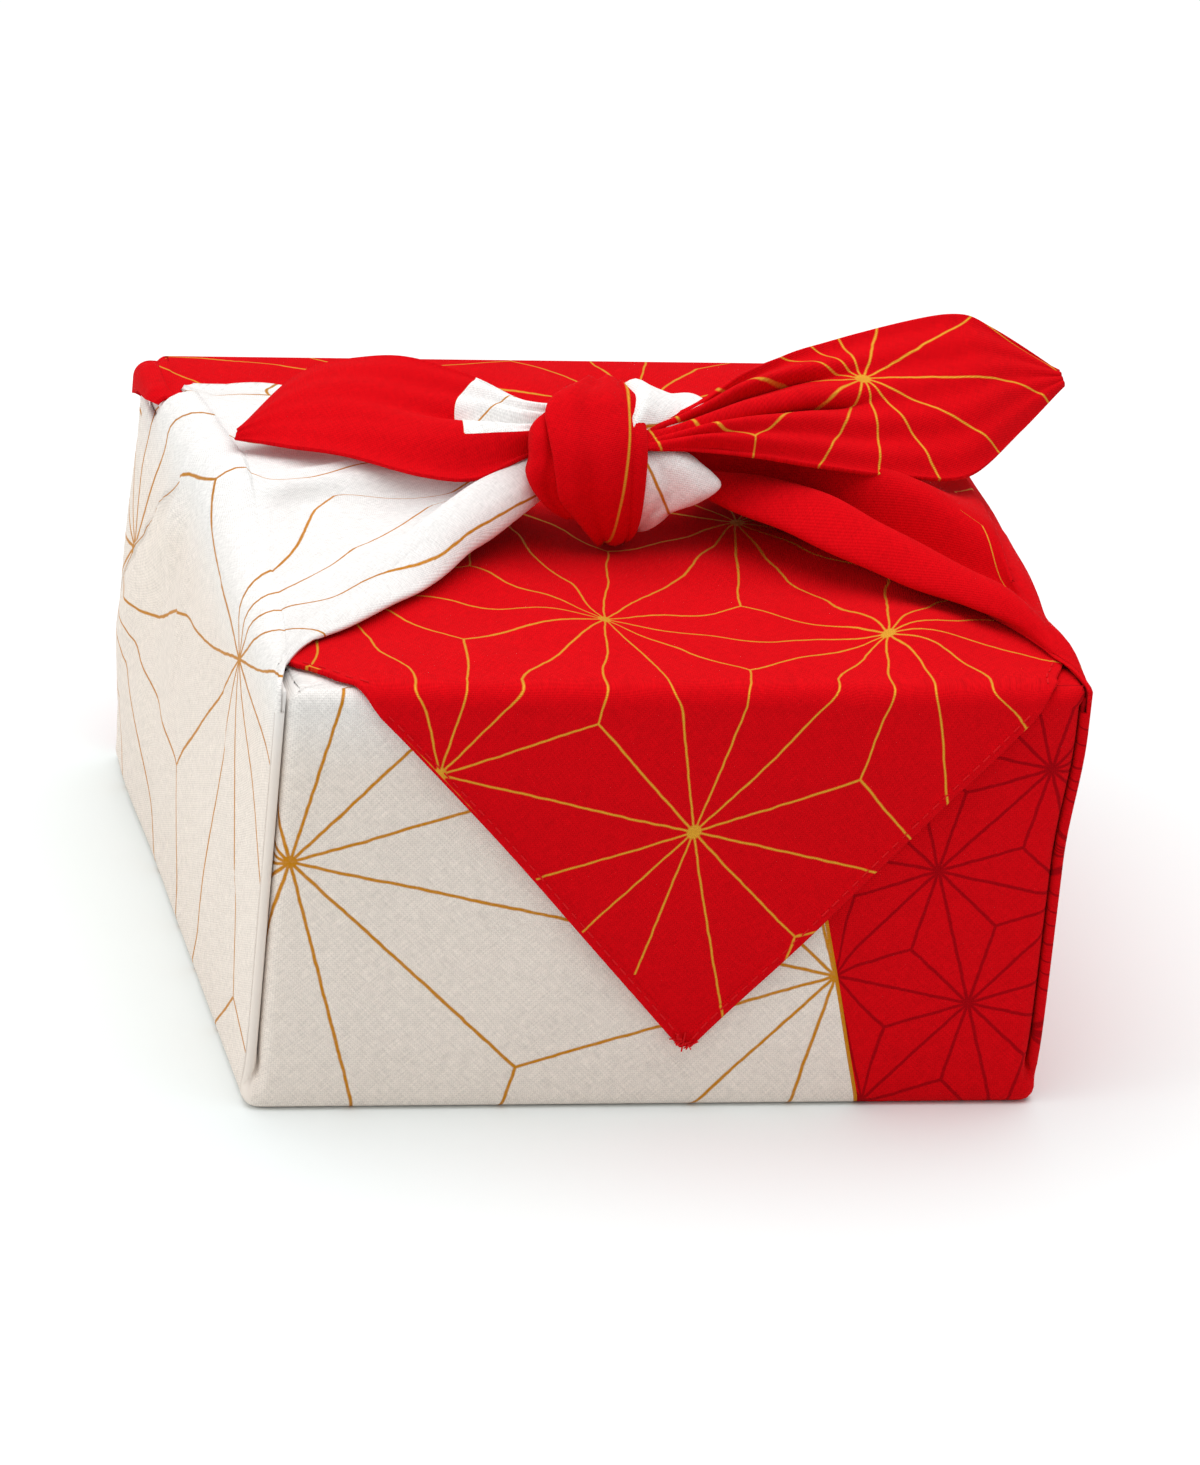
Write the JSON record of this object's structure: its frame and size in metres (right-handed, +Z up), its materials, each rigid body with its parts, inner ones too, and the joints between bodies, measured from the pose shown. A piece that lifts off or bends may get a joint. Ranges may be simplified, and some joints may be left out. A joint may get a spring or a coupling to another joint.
{
  "type": "furoshiki wrap",
  "caption": "Square cotton wrapping cloth folded round a gift box, its two side corners tied in a square knot on top with leaf-shaped tails.",
  "frame": {"origin": "centre of the wrapped box's base, on the surface it rests on", "axes": "+X to the right along the knot, -Y to the front where the triangle hangs, +Z up"},
  "size_m": [0.2223, 0.2126, 0.1615],
  "materials": {
    "cloth": "matt printed cotton"
  },
  "bodies": {
    "root": {"furoshiki_cloth": "cloth"}
  },
  "joints": []
}
